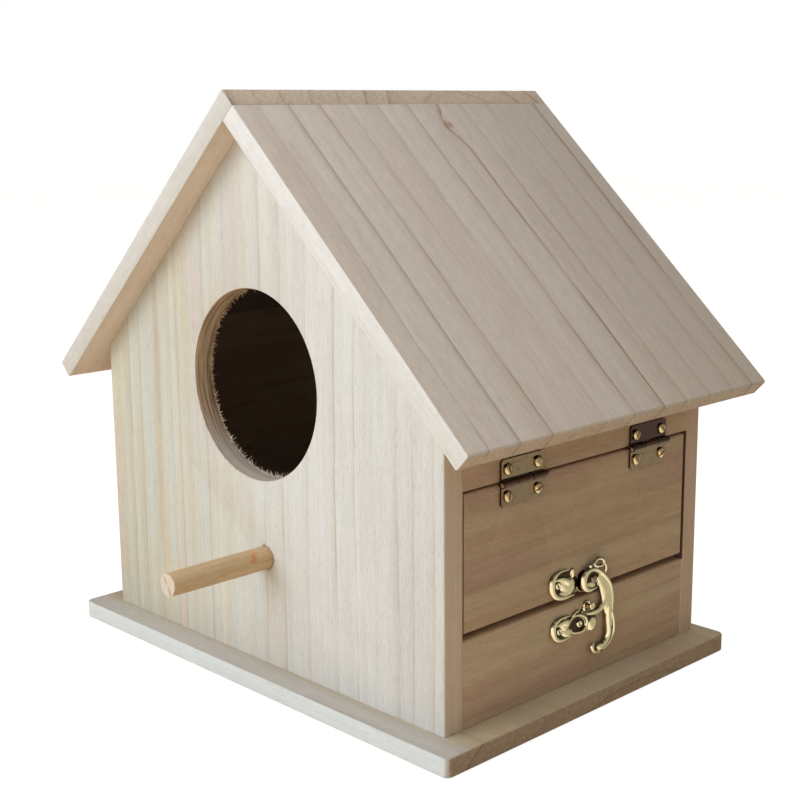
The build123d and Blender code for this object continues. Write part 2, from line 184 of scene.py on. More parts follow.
bpy.ops.object.select_all(action="DESELECT")
bpy.ops.mesh.primitive_plane_add(size=6, location=(0, 0, -0.2 * MM))
floor = bpy.context.object
floor.name = "studio_floor"
paper, nodes, shader = new_material(
    "studio paper", Base_Color=(0.74, 0.6, 0.43, 1), Roughness=0.9, Specular_IOR_Level=0.0)
glow_level, glow_share = 1.55, 0.6
glow = nodes.add("Emission", (0.96, 0.98, 1.0, 1), glow_level)[0]
shown = nodes.calc("MULTIPLY", seen_directly(nodes), glow_share)
lit = nodes.add("MixShader", shown, shader.outputs[0], glow)[0]
nodes.feed(nodes.tree.nodes["Material Output"].inputs[0], lit)
floor.data.materials.append(paper)
print("floor is", tuple(round(v, 1) for v in floor.dimensions), "m")

# %% Soft lamps
house_middle = Vector((0, 0, 0.1))


def soft_lamp(name, way, distance, width, level, tint):
    """A round soft lamp. Level 1 is the light under which a colour renders as it is written."""
    way = Vector(way).normalized()
    bpy.ops.object.light_add(type="AREA", location=house_middle + way * distance)
    made = bpy.context.object
    made.name = name
    made.data.shape = "DISK"
    made.data.size = width
    made.data.energy = level * pi * pi * distance * distance
    made.data.color = tint
    made.rotation_euler = way.to_track_quat("Z", "Y").to_euler()
    print(name, "at", [round(v, 2) for v in made.location], "with", round(made.data.energy, 1), "W")


soft_lamp("front_left_softbox", (-0.25, -0.87, 0.42), 1.2, 1.0, level=0.64, tint=(0.93, 0.99, 1.05))
soft_lamp("front_glint_lamp", (0.36, -0.92, 0.16), 0.9, 0.3, level=0.09, tint=(1.0, 0.98, 0.94))
soft_lamp("top_softbox", (0.15, 0.05, 1.0), 1.1, 1.0, level=0.3, tint=(1.0, 0.97, 0.94))

# %% [markdown]
# ## Wood as a solid
#
# A board is sawn from a trunk, so its growth rings are parts of long cylinders round a pith that
# lies outside the board. If the pattern is made in three dimensions, as rings round such a line,
# every face of the board agrees with its neighbours: straight lines down the face, arcs on the
# cut end. The group below works in the grain's own axes: its first axis runs along the fibres.

# %% Patterns that read like sums
class Pattern(Nodes):
    """A node tree for patterns, with short calls for sums, noise, steps and mixtures."""

    def times(self, value, *factors, clamp=False):
        """A product."""
        for factor in factors:
            value = self.calc("MULTIPLY", value, factor, clamp=clamp)
        return value

    def plus(self, value, *others):
        """A sum."""
        for other in others:
            value = self.calc("ADD", value, other)
        return value

    def vectors(self, operation, first, second):
        """One Vector Math node, which puts out a vector and a value."""
        return self.add("VectorMath", first, second, operation=operation)

    def axes(self, vector):
        """The three parts of a vector."""
        return self.add("SeparateXYZ", vector)

    def noise(self, place, cycles, detail=2.0, roughness=0.5):
        """Noise of about 0.3 to 0.7, with so many cycles a metre along each axis."""
        cycled = self.vectors("MULTIPLY", place, cycles)[0]
        values = dict(Vector=cycled, Scale=1.0, Detail=detail, Roughness=roughness)
        return self.add("TexNoise", named=values)[0]

    def ramp(self, value, low, high, from_value=0.0, to_value=1.0):
        """Goes smoothly from one level to another as the value passes from low to high."""
        levels = (low, high, from_value, to_value)
        return self.add("MapRange", value, *levels, interpolation_type="SMOOTHSTEP")[0]

    def blend(self, share, first, second, mode="MIX"):
        """Two colours mixed by a share."""
        made = self.tree.nodes.new("ShaderNodeMix")
        made.data_type, made.blend_type = "RGBA", mode
        for number, value in ((0, share), (6, first), (7, second)):
            self.feed(made.inputs[number], value)
        return made.outputs[2]


def new_group(name, inputs, outputs):
    """An empty shader group with named sockets. Each input is a name, a kind and a value."""
    tree = bpy.data.node_groups.new(name, "ShaderNodeTree")
    for label, kind, value in inputs:
        socket = tree.interface.new_socket(name=label, in_out="INPUT", socket_type=kind)
        if value is not None:
            socket.default_value = value
    for label, kind in outputs:
        tree.interface.new_socket(name=label, in_out="OUTPUT", socket_type=kind)
    into, out = tree.nodes.new("NodeGroupInput"), tree.nodes.new("NodeGroupOutput")
    return Pattern(tree), into.outputs, out.inputs


print("calls of a pattern:", [name for name in vars(Pattern) if not name.startswith("_")])

# %% The sawn wood group: its sockets
COLOR, NUMBER, VECTOR = "NodeSocketColor", "NodeSocketFloat", "NodeSocketVector"
sawn, into, out = new_group(
    "Sawn wood",
    [
        ("Place", VECTOR, None),
        ("Facing", VECTOR, None),
        ("Spot", VECTOR, None),
        ("Pith", VECTOR, (0, -0.3, 0.05)),
        ("Pale", COLOR, (0.66, 0.62, 0.53, 1)),
        ("Warm", COLOR, (0.60, 0.53, 0.42, 1)),
        ("Blush", COLOR, (0.62, 0.55, 0.50, 1)),
        ("Sap", COLOR, (0.66, 0.62, 0.53, 1)),
        ("Sap From", NUMBER, 1.0),
        ("Sap To", NUMBER, 2.0),
        ("Line", COLOR, (0.46, 0.36, 0.25, 1)),
        ("Cut End", COLOR, (0.4, 0.32, 0.22, 1)),
        ("Edge", COLOR, (0.6, 0.53, 0.42, 1)),
        ("Under", COLOR, (0.6, 0.53, 0.42, 1)),
        ("Under Share", NUMBER, 0.0),
        ("Knot", VECTOR, (9, 9, 9)),
        ("Knot Tone", COLOR, (0.36, 0.21, 0.13, 1)),
        ("Ring Width", NUMBER, 0.009),
        ("Ring Depth", NUMBER, 0.6),
        ("Uneven", NUMBER, 2.6),
        ("Sway", NUMBER, 0.004),
        ("Streaks", NUMBER, 0.14),
        ("Fibre", NUMBER, 0.22),
        ("Mottle", NUMBER, 0.12),
        ("Bands", NUMBER, 0.8),
    ],
    [("Color", COLOR), ("Height", NUMBER), ("Roughness", NUMBER)],
)
calc, times, plus, ramp, blend = sawn.calc, sawn.times, sawn.plus, sawn.ramp, sawn.blend


def grain_noise(cycles, detail=2.0, roughness=0.5):
    """Noise with so many cycles a metre along, across and through the grain."""
    return sawn.noise(into["Place"], cycles, detail, roughness)


def centred(value, factor):
    """Noise moved to swing about zero, times a factor."""
    return times(calc("SUBTRACT", value, 0.5), factor)


# %% The sawn wood group: growth rings
from_knot = plus(sawn.vectors("DISTANCE", into["Spot"], into["Knot"])["Value"],
                 centred(grain_noise((250, 600, 600)), 5 * MM))
parts = sawn.axes(sawn.vectors("SUBTRACT", into["Place"], into["Pith"])[0])
sway = centred(grain_noise((9, 22, 22), 3), into["Sway"])
reach = calc("SQRT", plus(calc("POWER", parts[1], 2.0), calc("POWER", parts[2], 2.0)))
reach = plus(reach, sway, ramp(from_knot, 0.0, 12 * MM, 4 * MM, 0.0))
rings = calc("DIVIDE", reach, into["Ring Width"])
good_and_bad_years = sawn.noise(sawn.add("CombineXYZ", rings)[0], (0.63, 0, 0), 1)
rings = plus(rings, times(good_and_bad_years, into["Uneven"]))
grown = calc("FRACT", rings)
thin_line = times(calc("POWER", grown, 13.0), 0.85)
soft_line = times(calc("POWER", grown, 3.0), 0.15)
late = times(plus(thin_line, soft_line), ramp(grown, 0.965, 1.0, 1.0, 0.0))
year = sawn.add("CombineXYZ", 0.0, calc("FLOOR", rings))[0]
late = times(late, ramp(sawn.noise(year, (0, 0.41, 0), 0), 0.35, 0.65, 0.45, 1.5))
late = times(late, ramp(grain_noise((22, 260, 260)), 0.3, 0.62, 0.4, 1.5))
print("ring part of the sawn wood group:", len(sawn.tree.nodes), "nodes")

# %% The sawn wood group: tones, fibres and pores
fibres = grain_noise((60, 1500, 1500), 3, 0.65)
pores = ramp(grain_noise((380, 3300, 3300), 1), 0.60, 0.70)
bands = times(ramp(grain_noise((5, 100, 100), 4, 0.7), 0.36, 0.64), into["Bands"])
colour = blend(bands, into["Pale"], into["Warm"])
colour = blend(ramp(grain_noise((7, 48, 48), 3, 0.6), 0.46, 0.64, 0.0, 0.85), colour, into["Blush"])
# A sap tone across the board's width. On the front and back boards it is a painted light gradient, paler
# towards the right.
width_place = plus(sawn.axes(into["Place"])[1], sway)
colour = blend(ramp(width_place, into["Sap From"], into["Sap To"], 0.0, 0.9), colour, into["Sap"])
colour = blend(times(late, into["Ring Depth"], clamp=True), colour, into["Line"])
streaks = centred(grain_noise((7, 330, 330), 3, 0.6), into["Streaks"])
mottle = centred(grain_noise((190, 420, 420), 3, 0.7), into["Mottle"])
shade = plus(1.0, streaks, centred(fibres, into["Fibre"]), mottle)
shade = calc("SUBTRACT", shade, times(pores, times(into["Fibre"], 0.5)))
grey = sawn.add("CombineColor", shade, shade, shade)[0]
print("with tones and fibres:", len(sawn.tree.nodes), "nodes")

# %% The sawn wood group: painted light and shade on long edges and undersides, cut ends and knots
facing = sawn.axes(into["Facing"])
# Painted light and shade: faces that look across the board's width, its long edges, take the edge colour,
# pale where the lamp falls on them and darker in shade.
colour = blend(ramp(calc("ABSOLUTE", facing[1]), 0.75, 0.95, 0.0, 0.9), colour, into["Edge"])
# Painted light on faces that look down: the roof's undersides take the paler, warmer under colour.
painted_underside = times(ramp(facing[2], -0.9, -0.7, 1.0, 0.0), into["Under Share"])
colour = blend(painted_underside, colour, into["Under"])
colour = blend(ramp(from_knot, 0.6 * MM, 2.6 * MM, 0.85, 0.0), colour, into["Knot Tone"])
colour = blend(1.0, colour, grey, mode="MULTIPLY")
cut = ramp(calc("ABSOLUTE", facing[0]), 0.75, 0.95)
speckle = ramp(grain_noise((500, 800, 800), 3, 0.75), 0.40, 0.62)
cut_colour = blend(times(speckle, 0.36), into["Cut End"], into["Line"])
cut_colour = blend(times(late, 0.7, clamp=True), cut_colour, into["Line"])
colour = blend(cut, colour, cut_colour)
print("with edges and ends:", len(sawn.tree.nodes), "nodes")

# %% [markdown]
# ## Marks of the saw, and painted light and shade
#
# Some of the wood's look depends on the place and not on the grain. The entrance's wall has the
# saw's dark and pale stripes round it, with painted light on its lower part. The interior gets
# painted shade and is darker. Beside the closed flap the back board's edge has a narrow painted
# shadow, for the gap there. Each mark is a mask, a product of soft steps along the axes.

# %% The sawn wood group: the entrance's sawn wall
entrance_middle, entrance_radius = (-0.0011, 0, 0.1028), 0.0322
front_low, front_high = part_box("front_panel")
spot = sawn.axes(into["Spot"])
flat_spot = sawn.vectors("MULTIPLY", into["Spot"], (1, 0, 1))[0]
from_axis = sawn.vectors("DISTANCE", flat_spot, entrance_middle)["Value"]
at_hole = times(ramp(from_axis, entrance_radius + 0.05 * MM, entrance_radius + 0.2 * MM, 1.0, 0.0),
                ramp(spot[1], front_high.y - 0.5 * MM, front_high.y + 0.3 * MM, 1.0, 0.0))
saw_marks = ramp(sawn.noise(into["Spot"], (45, 950, 45), 3, 0.6), 0.36, 0.66)
saw_colour = blend(saw_marks, (0.76, 0.60, 0.42, 1), (0.33, 0.21, 0.125, 1))
# Painted light: the lower part of the entrance's wall looks up towards the lamp and is paler.
painted_lit_bottom = ramp(spot[2], entrance_middle[2] - 27 * MM, entrance_middle[2] - 8 * MM, 0.65, 0.0)
saw_colour = blend(painted_lit_bottom, saw_colour, (0.62, 0.57, 0.53, 1))
colour = blend(at_hole, colour, saw_colour)
print("entrance's wall from radius", round(entrance_radius / MM, 1), "mm")

# %% The sawn wood group: painted shade in the interior, the painted shadow by the flap, and the outputs
soft = 0.3 * MM


def within(value, low, high):
    """1 between two levels, softly, otherwise 0."""
    return times(ramp(value, low - soft, low), ramp(value, high - soft, high, 1.0, 0.0))


inner_x, inner_back = -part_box("left_wall")[1].x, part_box("back_panel")[0].y
from_middle = calc("ABSOLUTE", spot[0])
under_roof = plus(spot[2], times(from_middle, tan(slope)))
# Painted shade: the interior is darker, and much darker on the roof's undersides within it.
painted_interior_shade = times(ramp(from_middle, inner_x + 0.2 * MM, inner_x + 0.6 * MM, 1.0, 0.0),
               within(spot[1], front_high.y - soft, inner_back + soft),
               ramp(under_roof, front_high.z + 0.3 * MM, front_high.z + 0.7 * MM, 1.0, 0.0))
interior_shade_tone = blend(painted_underside, (0.76, 0.70, 0.68, 1), (0.26, 0.24, 0.25, 1))
colour = blend(painted_interior_shade, colour, interior_shade_tone, mode="MULTIPLY")
rail_high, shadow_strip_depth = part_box("bottom_rail")[1], 3.5 * MM
# Painted shadow: a dark strip on the back board's edge beside the closed flap.
painted_gap_shadow = times(ramp(spot[0], rail_high.x - shadow_strip_depth - soft, rail_high.x - shadow_strip_depth),
            within(spot[1], inner_back, inner_back + 0.5 * MM),
            within(spot[2], rail_high.z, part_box("top_rail")[0].z + soft))
colour = blend(painted_gap_shadow, colour, (0.10, 0.055, 0.035, 1))
relief = calc("SUBTRACT", plus(fibres, times(late, 0.3)), times(cut, speckle))
sawn.feed(out["Color"], colour)
sawn.feed(out["Height"], calc("SUBTRACT", relief, pores))
sawn.feed(out["Roughness"], ramp(fibres, 0.3, 0.7, 0.82, 0.66))
print("sawn wood group has", len(sawn.tree.nodes), "nodes")

# %% [markdown]
# ## A material for each board
#
# Every board is the same pale wood but was sawn its own way, so one maker function places the
# group in a material of the board's own: which way the grain runs, where the pith was, and how
# strong its lines are. A Mapping node turns the object's axes into the grain's.

# %% Board materials
def dress(nodes, shader, looks, bump_depth, bump_strength):
    """Feed a shader from a group's colour, roughness and height."""
    bump = nodes.add("Bump", named=dict(Distance=bump_depth, Strength=bump_strength, Height=looks["Height"]))
    nodes.feed_named(shader, dict(Base_Color=looks["Color"], Roughness=looks["Roughness"], Normal=bump[0]))


def board_wood(name, along, across, pith, shift=(0, 0, 0), **finish):
    """A wood material whose grain runs along one direction, with its wide side across another."""
    along, across = Vector(along).normalized(), Vector(across).normalized()
    turn = Matrix((along, across, along.cross(across))).to_euler()
    made, nodes, shader = new_material(name, Specular_IOR_Level=0.3)
    where = nodes.add("TexCoord")
    place = nodes.add("Mapping", vector_type="POINT",
                      named=dict(Vector=where["Object"], Rotation=turn, Location=shift))
    facing = nodes.add("Mapping", vector_type="VECTOR", named=dict(Vector=where["Normal"], Rotation=turn))
    looks = nodes.add("Group", node_tree=sawn.tree, named=dict(
        Place=place[0], Facing=facing[0], Spot=where["Object"], Pith=pith, **finish))
    dress(nodes, shader, looks, bump_depth=0.12 * MM, bump_strength=0.5)
    return made


up_z, back_y, front_y, out_x = (0, 0, 1), (0, 1, 0), (0, -1, 0), (1, 0, 0)
down_right = (cos(slope), 0, -sin(slope))
down_left = (-cos(slope), 0, -sin(slope))
ridge_knot, red_patch = (0.0127, 0.0169, 0.1865), (0.0061, -0.0697, 0.0468)
# The edge colours are painted light and shade: near white on the lit front edges of the roof and the base,
# darker on the other boards' edges.
front_tones = dict(
    Pale=(0.57, 0.585, 0.52, 1), Warm=(0.60, 0.53, 0.385, 1), Blush=(0.585, 0.51, 0.47, 1),
    # The sap colour here is a painted light gradient, paler towards the right.
    Line=(0.43, 0.33, 0.22, 1), Edge=(0.61, 0.49, 0.36, 1), Sap=(0.68, 0.69, 0.68, 1), Sap_From=-0.07,
    Sap_To=0.05, Ring_Depth=0.45, Uneven=4.0, Sway=0.004, Ring_Width=0.011, Streaks=0.26, Bands=0.9)
side_tones = dict(
    Pale=(0.51, 0.41, 0.27, 1), Warm=(0.465, 0.33, 0.215, 1), Blush=(0.45, 0.305, 0.225, 1),
    Line=(0.32, 0.215, 0.13, 1), Edge=(0.46, 0.32, 0.2, 1), Ring_Depth=0.3, Sway=0.002, Fibre=0.3,
    Streaks=0.2, Mottle=0.2)
# The under colour on the roof's undersides is painted light.
roof_tones = dict(
    Pale=(0.62, 0.57, 0.52, 1), Warm=(0.61, 0.54, 0.47, 1), Blush=(0.58, 0.50, 0.45, 1),
    Line=(0.33, 0.24, 0.17, 1), Cut_End=(0.62, 0.53, 0.43, 1), Under=(0.78, 0.66, 0.54, 1), Under_Share=0.9,
    Ring_Depth=0.75, Uneven=1.1, Sway=0.006, Streaks=0.12, Mottle=0.2)
base_tones = dict(
    Pale=(0.47, 0.41, 0.295, 1), Warm=(0.48, 0.385, 0.245, 1), Blush=(0.46, 0.355, 0.24, 1),
    Line=(0.16, 0.105, 0.06, 1), Edge=(0.67, 0.72, 0.74, 1), Cut_End=(0.38, 0.29, 0.195, 1),
    Sap=(0.52, 0.50, 0.47, 1), Sap_From=-0.058, Sap_To=-0.068, Ring_Depth=0.22, Sway=0.002)
perch_tones = dict(
    Pale=(0.64, 0.48, 0.30, 1), Warm=(0.58, 0.39, 0.21, 1), Blush=(0.66, 0.40, 0.24, 1),
    Line=(0.58, 0.45, 0.32, 1), Edge=(0.64, 0.46, 0.28, 1), Cut_End=(0.70, 0.64, 0.56, 1),
    Knot=red_patch, Knot_Tone=(0.62, 0.24, 0.12, 1), Ring_Width=0.003, Ring_Depth=0.4,
    Sway=0.001, Streaks=0.4, Mottle=0.35)

woods = {
    "front_panel": board_wood("front board wood", up_z, out_x, (0, -0.5, 0.09), **front_tones),
    "back_panel": board_wood(
        "back board wood", up_z, out_x, (0, -0.42, 0.07), shift=(2.3, 0, 0),
        **{**front_tones, "Edge": (0.54, 0.41, 0.28, 1)}),
}
for node_name, label, pith_y, shift_along in (
    ("left_wall", "left board wood", -0.3, 0.7),
    ("top_rail", "top rail wood", -0.3, 1.4),
    ("bottom_rail", "bottom rail wood", -0.2, 2.6),
    ("flap_door", "flap wood", -0.25, 3.9),
):
    woods[node_name] = board_wood(
        label, back_y, up_z, (0, pith_y, 0.05), shift=(shift_along, 0, 0), **side_tones)
woods["roof_left"] = board_wood(
    "left roof wood", down_left, front_y, (0, -0.03, 0.12), shift=(5.1, 0, 0),
    Edge=(0.62, 0.61, 0.57, 1), Ring_Width=0.011, **roof_tones)
woods["roof_right"] = board_wood(
    "right roof wood", down_right, back_y, (0, -0.5, 0.12), Knot=ridge_knot,
    Edge=(0.74, 0.74, 0.72, 1), Sap=(0.53, 0.475, 0.41, 1), Sap_From=-0.01, Sap_To=0.07,
    Ring_Width=0.0135, **roof_tones)
woods["base_board"] = board_wood(
    "base board wood", out_x, back_y, (0, 0.02, -0.1), shift=(6.2, 0, 0), **base_tones)
woods["perch"] = board_wood("perch wood", back_y, up_z, (0, 0.01, 0.004), **perch_tones)
for node_name, wood in woods.items():
    frame["nodes"][node_name].data.materials.clear()
    frame["nodes"][node_name].data.materials.append(wood)
print("boards with a wood of their own:", len(woods))

# %% [markdown]
# ## Aged brass with painted highlights and shade
#
# Small brass plated hardware is dark in its hollows, partly from tarnish and partly as painted
# shade. The hollows lie nearer to the wood, so how far a spot stands out from it tells bright from
# dark. On the hinges it is the other way round: the knuckles, which stand out, are dark. The flanks
# that look to the front and down get a painted highlight, and those that look up and back a painted
# dark reflection. A cloudy pattern breaks the polish up.

# %% Aged brass group and its materials
aged, into, out = new_group(
    "Aged brass",
    [
        ("Place", VECTOR, None),
        ("Facing", VECTOR, None),
        ("Bright", COLOR, (0.42, 0.37, 0.19, 1)),
        ("Gleam", COLOR, (0.95, 0.79, 0.50, 1)),
        ("Dark", COLOR, (0.03, 0.017, 0.005, 1)),
        ("Hollow", NUMBER, 0.0875),
        ("Proud", NUMBER, 0.0878),
        ("Clouding", NUMBER, 0.12),
        ("Flanks", NUMBER, 0.9),
    ],
    [("Color", COLOR), ("Roughness", NUMBER), ("Height", NUMBER)],
)
calc, times, plus, ramp, blend = aged.calc, aged.times, aged.plus, aged.ramp, aged.blend
# The hollows, nearer the wood, turn dark: partly tarnish and partly painted shade.
proud = ramp(aged.axes(into["Place"])[0], into["Hollow"], into["Proud"])
lean = aged.axes(into["Facing"])
away = plus(times(lean[1], 0.8), times(lean[2], 0.7))
# Painted dark reflection on the flanks that look up and back.
painted_dark_flanks = times(ramp(away, 0.12, 0.55), into["Flanks"])
# Painted highlight: the flanks that look to the front and down take the gleam colour.
painted_gleam_share = ramp(away, -0.4, -0.06, 1.0, 0.0)
cloud = times(ramp(aged.noise(into["Place"], (420, 420, 420), 3, 0.6), 0.42, 0.68), into["Clouding"])
bare_and_painted_light = times(proud, calc("SUBTRACT", 1.0, cloud), clamp=True)
bare_and_painted_light = times(bare_and_painted_light, calc("SUBTRACT", 1.0, painted_dark_flanks))
bare_and_painted_light = calc("MAXIMUM", bare_and_painted_light, times(painted_gleam_share, 0.95))
aged.feed(out["Color"], blend(bare_and_painted_light, into["Dark"], blend(painted_gleam_share, into["Bright"], into["Gleam"])))
aged.feed(out["Roughness"], ramp(bare_and_painted_light, 0.0, 1.0, 0.42, 0.16))
aged.feed(out["Height"], aged.noise(into["Place"], (1500, 1500, 1500)))


def aged_brass(name, hollow, proud_at, **finish):
    """Brass that is dark at one distance from the house's middle plane and bright at another, in mm."""
    made, nodes, shader = new_material(name, Metallic=1.0)
    where = nodes.add("TexCoord")
    looks = nodes.add("Group", node_tree=aged.tree, named=dict(
        Place=where["Object"], Facing=where["Normal"], Hollow=hollow * MM, Proud=proud_at * MM, **finish))
    dress(nodes, shader, looks, bump_depth=0.04 * MM, bump_strength=0.1)
    return made


# Each finish's gleam colour is a painted highlight on the flanks that look to the front and down.
plate_brass = aged_brass("latch plate brass", 87.46, 87.85)
arm_brass = aged_brass("latch arm brass", 88.4, 88.75)
nail_brass = aged_brass("nail head brass", 87.5, 87.9)
rivet_brass = aged_brass("rivet brass", 88.5, 89.1, Bright=(0.17, 0.12, 0.075, 1), Gleam=(0.3, 0.2, 0.12, 1))
stud_brass = aged_brass("catch stud brass", 87.6, 89.0)
leaf_painted_gleam = (0.14, 0.08, 0.045, 1)
leaf_brass = aged_brass("hinge leaf brass", 88.15, 87.85, Bright=(0.17, 0.125, 0.066, 1), Gleam=leaf_painted_gleam,
                        Dark=(0.05, 0.022, 0.012, 1), Clouding=0.2)
# Painted shade: the back hinge's fixed leaf gets a much darker copy of the leaf brass.
shaded_leaf_brass = aged_brass("dull hinge leaf brass", 88.15, 87.85, Bright=(0.04, 0.02, 0.011, 1),
                             Gleam=leaf_painted_gleam, Clouding=0.4)
pin_brass = aged_brass("hinge pin brass", 87.3, 88.9, Bright=(0.08, 0.04, 0.022, 1),
                       Gleam=(0.22, 0.13, 0.07, 1), Clouding=0.3)
screw_brass = aged_brass("hinge screw brass", 87.95, 88.2, Bright=(0.26, 0.17, 0.075, 1),
                         Gleam=(0.75, 0.56, 0.28, 1))
print("brass finishes:", len([m for m in bpy.data.materials if "brass" in m.name]))

# %% [markdown]
# ## How the small hardware is made
#
# Each piece starts from a primitive or a drawn path at its real size and place and is then shaped.
# Small helpers do what every piece needs. One clears the selection before something new is added,
# one picks pieces, and one settles a finished piece: its place goes into its mesh, it gets its
# finish, and it is tied to the part of the house that it moves with.

# %% Start and settle a piece
def fresh_start():
    """Leave edit mode and select nothing, so that an operator acts on the new piece alone."""
    if bpy.context.object and bpy.context.object.mode != "OBJECT":
        bpy.ops.object.mode_set(mode="OBJECT")
    bpy.ops.object.select_all(action="DESELECT")


def pick(*pieces):
    """Select these pieces alone, with the first one active."""
    fresh_start()
    for piece in pieces:
        piece.select_set(True)
    bpy.context.view_layer.objects.active = pieces[0]


def place_into_mesh():
    """Put the selected piece's place, turn and scale into its mesh."""
    bpy.ops.object.transform_apply(location=True, rotation=True, scale=True)


def settle(piece, name, finish, body, slot, *nodes):
    """Put the place into the mesh, name it, give it its finish and tie it to its body."""
    pick(piece)
    place_into_mesh()
    piece.name = name
    piece.data.name = name
    piece.data.materials.clear()
    piece.data.materials.append(finish)
    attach(piece, body)
    if nodes:
        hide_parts(*nodes)
    return piece


def use_modifier(piece, kind, **settings):
    """Add a modifier with its settings and apply it at once."""
    bpy.context.view_layer.objects.active = piece
    made = piece.modifiers.new(kind.lower(), kind)
    for key, value in settings.items():
        setattr(made, key, value)
    bpy.ops.object.modifier_apply(modifier=made.name)


def smooth_below(piece, angle):
    """Shade smooth across edges that turn by less than an angle in degrees."""
    pick(piece)
    bpy.ops.object.shade_smooth_by_angle(angle=radians(angle))


joint_places = {joint["name"]: Vector(joint["pos_m"]) for joint in frame["joints"]}
pivot, hinge_line = joint_places["latch_swing"], joint_places["door_hinge"]
wood_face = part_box("flap_door")[1].x
print("wood face at", round(wood_face / MM, 2), "mm, latch pivot at", [round(v / MM, 2) for v in pivot])

# %% [markdown]
# ## Sanded boards
#
# The boards were cut square and then rubbed down, so every arris is a little round. It catches a
# thin line of light, and where two boards meet it leaves a fine groove. The CAD solids have sharp
# arrises. A copy of each is enough: merge its loose triangles, dissolve them into whole faces, and
# round the arrises with a bevel. The same helper then serves the brass leaves.

# %% Boards with rubbed arrises
def softened_copy(node_name, radius):
    """A copy of a CAD solid with its triangles joined and its arrises rounded."""
    piece = frame["nodes"][node_name].copy()
    piece.data = frame["nodes"][node_name].data.copy()
    piece.parent = None
    for label in [key for key in piece.keys() if key.startswith("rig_")]:
        del piece[label]
    bpy.context.scene.collection.objects.link(piece)
    pick(piece)
    bpy.ops.object.mode_set(mode="EDIT")
    bpy.ops.mesh.select_all(action="SELECT")
    bpy.ops.mesh.remove_doubles(threshold=0.005 * MM)
    bpy.ops.mesh.dissolve_limited(angle_limit=radians(1))
    bpy.ops.object.mode_set(mode="OBJECT")
    use_modifier(piece, "BEVEL", width=radius, segments=2, limit_method="ANGLE", angle_limit=radians(40))
    return piece


roof_rubbing, board_rubbing = 0.2 * MM, 0.35 * MM
board_slots = {"front": "front_wood", "back": "front_wood", "roof": "roof_wood", "base": "base_wood"}
for node_name, wood in woods.items():
    if node_name == "perch":
        continue
    body = "door" if node_name == "flap_door" else "house"
    first_word = node_name.split("_")[0]
    piece = softened_copy(node_name, roof_rubbing if first_word == "roof" else board_rubbing)
    settle(piece, f"{node_name}_sanded", wood, body, board_slots.get(first_word, "side_wood"), node_name)
    smooth_below(piece, 30)
    print(piece.name, len(piece.data.polygons), "faces")

# %% [markdown]
# ## Hinge leaves
#
# A butt hinge's leaf is cut and curled from brass strip, so its arrises are soft and catch the
# light. The CAD leaf already has the right outline, knuckles and holes, and gets the same rubbing
# as the boards, only finer.

# %% Hinge leaves
leaf_rubbing = 0.07 * MM
for place in ("front", "back"):
    for leaf, body in (("fixed", "house"), ("door", "door")):
        node_name = f"{place}_hinge_{leaf}_leaf"
        # The back hinge's fixed leaf takes the darker brass, as painted shade.
        finish = shaded_leaf_brass if (place, leaf) == ("back", "fixed") else leaf_brass
        piece = softened_copy(node_name, leaf_rubbing)
        settle(piece, f"{node_name}_curled", finish, body, "hinge_brass", node_name)
        smooth_below(piece, 18)
        print(piece.name, len(piece.data.polygons), "faces")

# %% [markdown]
# ## Hinge pins
#
# The pin is a rod whose ends are swaged into buttons. It starts as a cylinder along the hinge's
# axis. The end faces are selected by where they look, made wider for the button's shoulder, drawn
# out for its length, and rounded off with a bevel.

# %% Hinge pins
def edit_faces():
    """Enter edit mode on the piece that was just made, to work on faces."""
    bpy.ops.object.mode_set(mode="EDIT")
    bpy.ops.mesh.select_mode(type="FACE")


def faces_looking(piece, way, least=0.9, past=-1.0):
    """Select the faces of the piece in edit mode that look one way and lie past a place along it."""
    way = Vector(way)
    bpy.ops.mesh.select_all(action="DESELECT")
    bpy.ops.object.mode_set(mode="OBJECT")
    for face in piece.data.polygons:
        face.select = face.normal.dot(way) > least and face.center.dot(way) > past
    bpy.ops.object.mode_set(mode="EDIT")


def extrude(way=(0, 0, 0)):
    """Extrude the selected faces and move them."""
    bpy.ops.mesh.extrude_region_move(TRANSFORM_OT_translate={"value": way})


rod_radius, button_radius, button_length, button_rounding = 0.55 * MM, 0.95 * MM, 1.3 * MM, 0.4 * MM
widening = button_radius / rod_radius
for place in ("front", "back"):
    low_end, high_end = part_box(f"{place}_hinge_fixed_leaf")
    middle_y = (low_end.y + high_end.y) / 2
    fresh_start()
    bpy.ops.mesh.primitive_cylinder_add(
        vertices=32, radius=rod_radius, depth=high_end.y - low_end.y,
        location=(hinge_line.x, middle_y, hinge_line.z), rotation=(pi / 2, 0, 0))
    pin = bpy.context.object
    place_into_mesh()
    edit_faces()
    for way, end_y in ((-1, low_end.y), (1, high_end.y)):
        faces_looking(pin, (0, way, 0), past=way * middle_y)
        extrude()
        bpy.ops.transform.resize(
            value=(widening, 1, widening), center_override=(hinge_line.x, end_y, hinge_line.z))
        extrude((0, way * button_length, 0))
        bpy.ops.mesh.bevel(offset=button_rounding, segments=4)
    settle(pin, f"{place}_hinge_pin_swaged", pin_brass, "house", "hinge_brass", f"{place}_hinge_pin")
    smooth_below(pin, 40)
    print(pin.name, len(pin.data.polygons), "faces")

# %% [markdown]
# ## Hinge screws
#
# The screws have oval heads that stand a little proud of the leaf, with one slot across. The head
# is a cylinder whose top is inset and raised in steps to a dome. The slot is cut with a Boolean
# against a thin block. One screw is made and copied, and each copy is turned by its own angle,
# because nobody lines up the slots of small screws.

